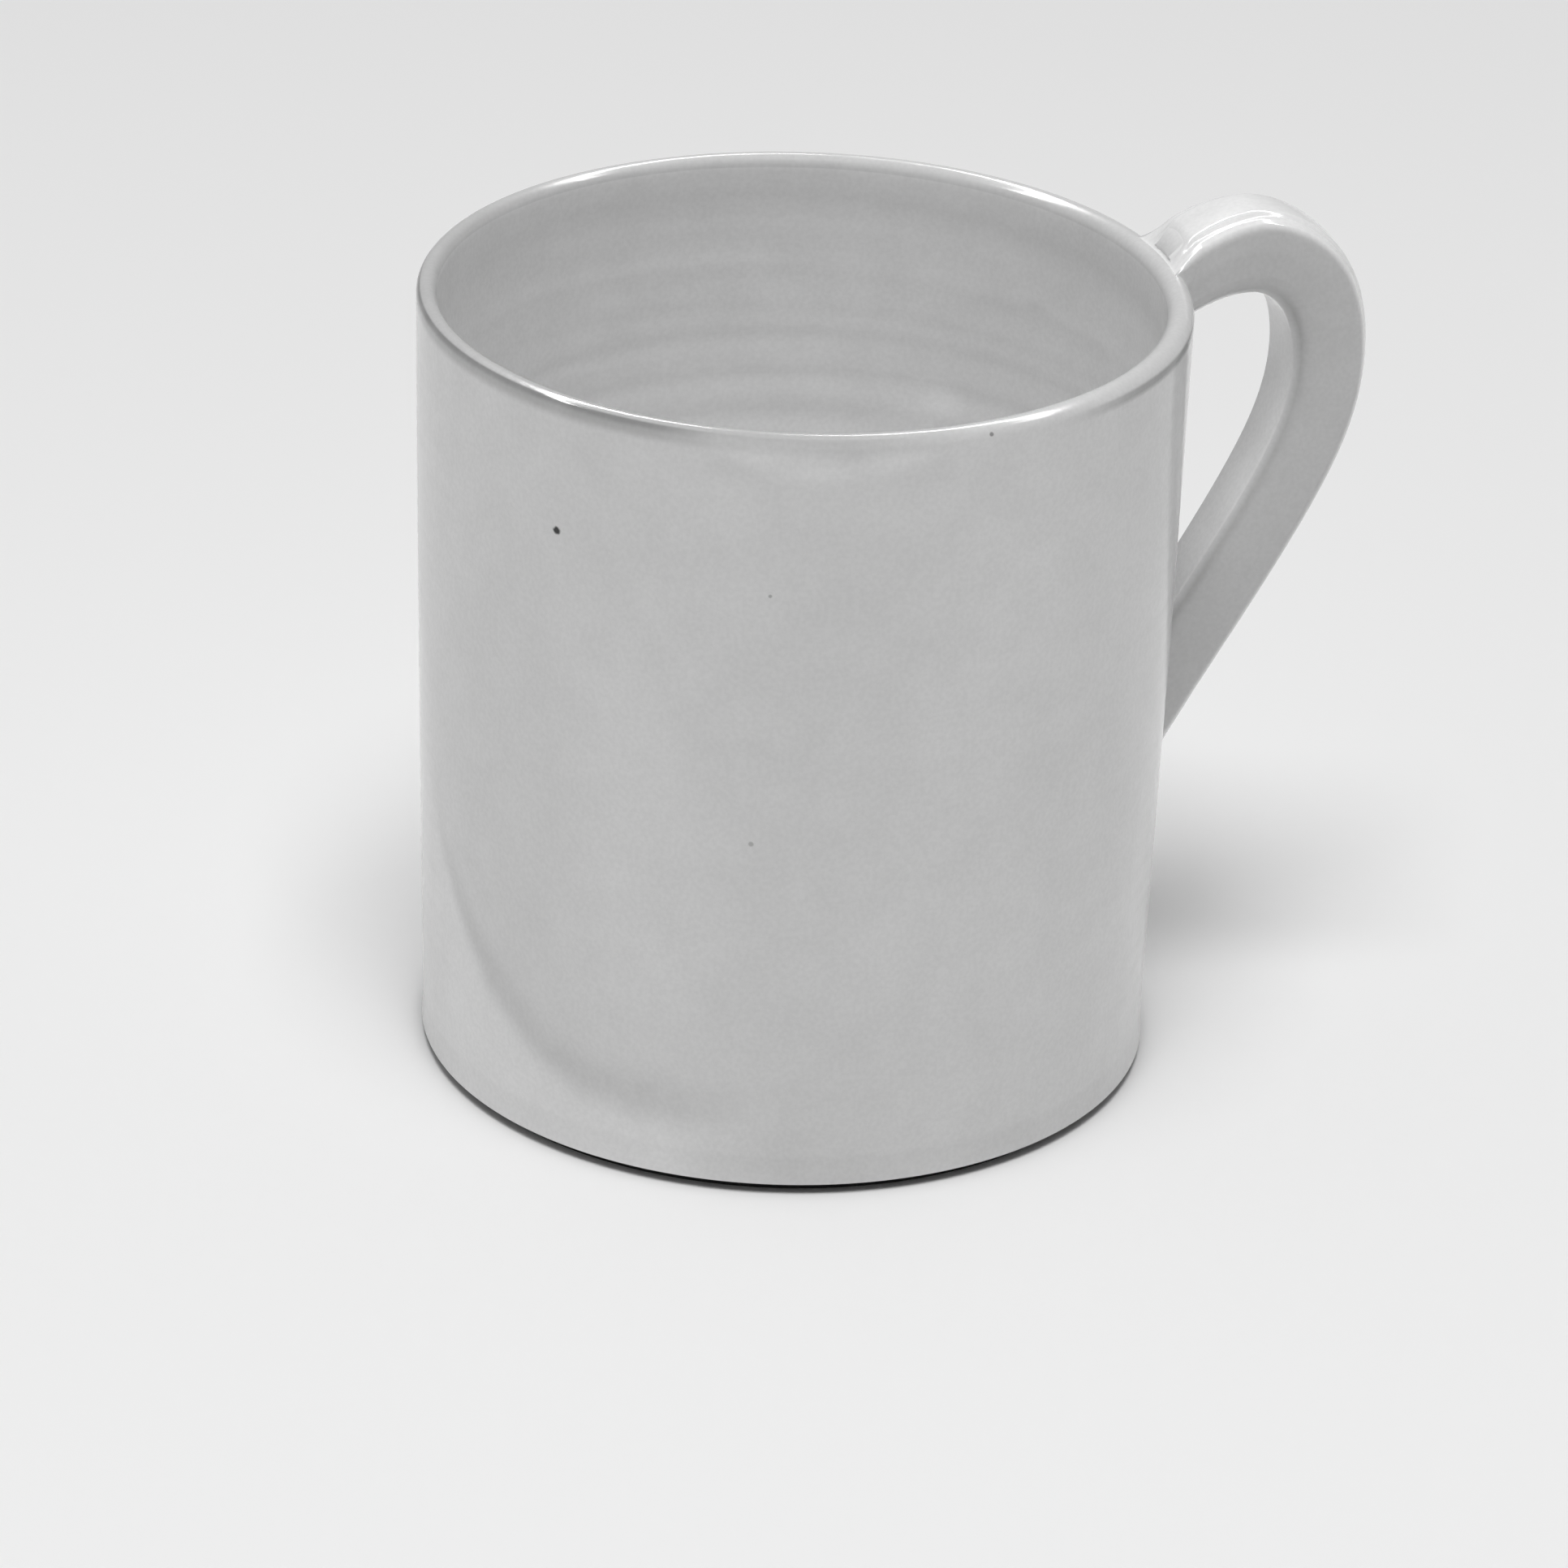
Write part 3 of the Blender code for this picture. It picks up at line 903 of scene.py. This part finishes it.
def make_world():
    world = bpy.data.worlds.new("studio")
    bpy.context.scene.world = world
    world.use_nodes = True
    tree = world.node_tree
    background = tree.nodes["Background"]
    coordinates = tree.nodes.new("ShaderNodeTexCoord")
    facing = tree.nodes.new("ShaderNodeVectorMath")
    facing.operation = "DOT_PRODUCT"
    facing.inputs[1].default_value = (math.cos(DARK_SIDE), math.sin(DARK_SIDE), DARK_SIDE_DROP)
    tree.links.new(coordinates.outputs["Generated"], facing.inputs[0])
    ramp = tree.nodes.new("ShaderNodeMapRange")
    ramp.interpolation_type = "SMOOTHSTEP"
    ramp.inputs["From Min"].default_value, ramp.inputs["From Max"].default_value = WORLD_EDGE
    ramp.inputs["To Min"].default_value = WORLD_BACK
    ramp.inputs["To Max"].default_value = WORLD_FRONT
    tree.links.new(facing.outputs["Value"], ramp.inputs["Value"])
    tree.links.new(ramp.outputs["Result"], background.inputs["Strength"])
    background.inputs["Color"].default_value = (1, 1, 1, 1)


def area_light(name, place, size_x, size_y, power, reflection_only):
    """A soft box facing the mug."""
    place = Matrix.Rotation(-HANDLE_TURN, 4, "Z") @ Vector(place)
    data = bpy.data.lights.new(name, "AREA")
    data.shape = "RECTANGLE"
    data.size = size_x
    data.size_y = size_y
    data.energy = power
    light = bpy.data.objects.new(name, data)
    light.location = place
    light.rotation_mode = "QUATERNION"
    light.rotation_quaternion = (LIGHT_AIM - place).to_track_quat("-Z", "Y")
    light.visible_diffuse = not reflection_only
    light.visible_glossy = reflection_only
    bpy.context.scene.collection.objects.link(light)


def make_camera():
    data = bpy.data.cameras.new("camera")
    data.lens = CAMERA_LENS
    data.sensor_width = SENSOR
    camera = bpy.data.objects.new("camera", data)
    bpy.context.scene.collection.objects.link(camera)
    back = Vector((0.0, -math.cos(CAMERA_ELEVATION), math.sin(CAMERA_ELEVATION)))
    right = Vector((1.0, 0.0, 0.0))
    level = Matrix((right, back.cross(right), back)).transposed().to_4x4()
    place = Vector((0.0, 0.0, CAMERA_AIM_HEIGHT)) + back * CAMERA_DISTANCE
    tilt = (Matrix.Rotation(CAMERA_ROLL, 4, "Z") @ Matrix.Rotation(CAMERA_PITCH, 4, "X")
            @ Matrix.Rotation(CAMERA_YAW, 4, "Y")).transposed()
    camera.matrix_world = (Matrix.Rotation(-HANDLE_TURN, 4, "Z") @ Matrix.Translation(place)
                           @ level @ tilt)
    bpy.context.scene.camera = camera


make_cup(cup_glaze())
make_handle(strap_glaze("handle_glaze"), strap_glaze("slip_glaze"))
make_floor()
make_world()
for light in LIGHTS:
    area_light(*light)
make_camera()
bpy.context.scene.view_settings.view_transform = "Standard"
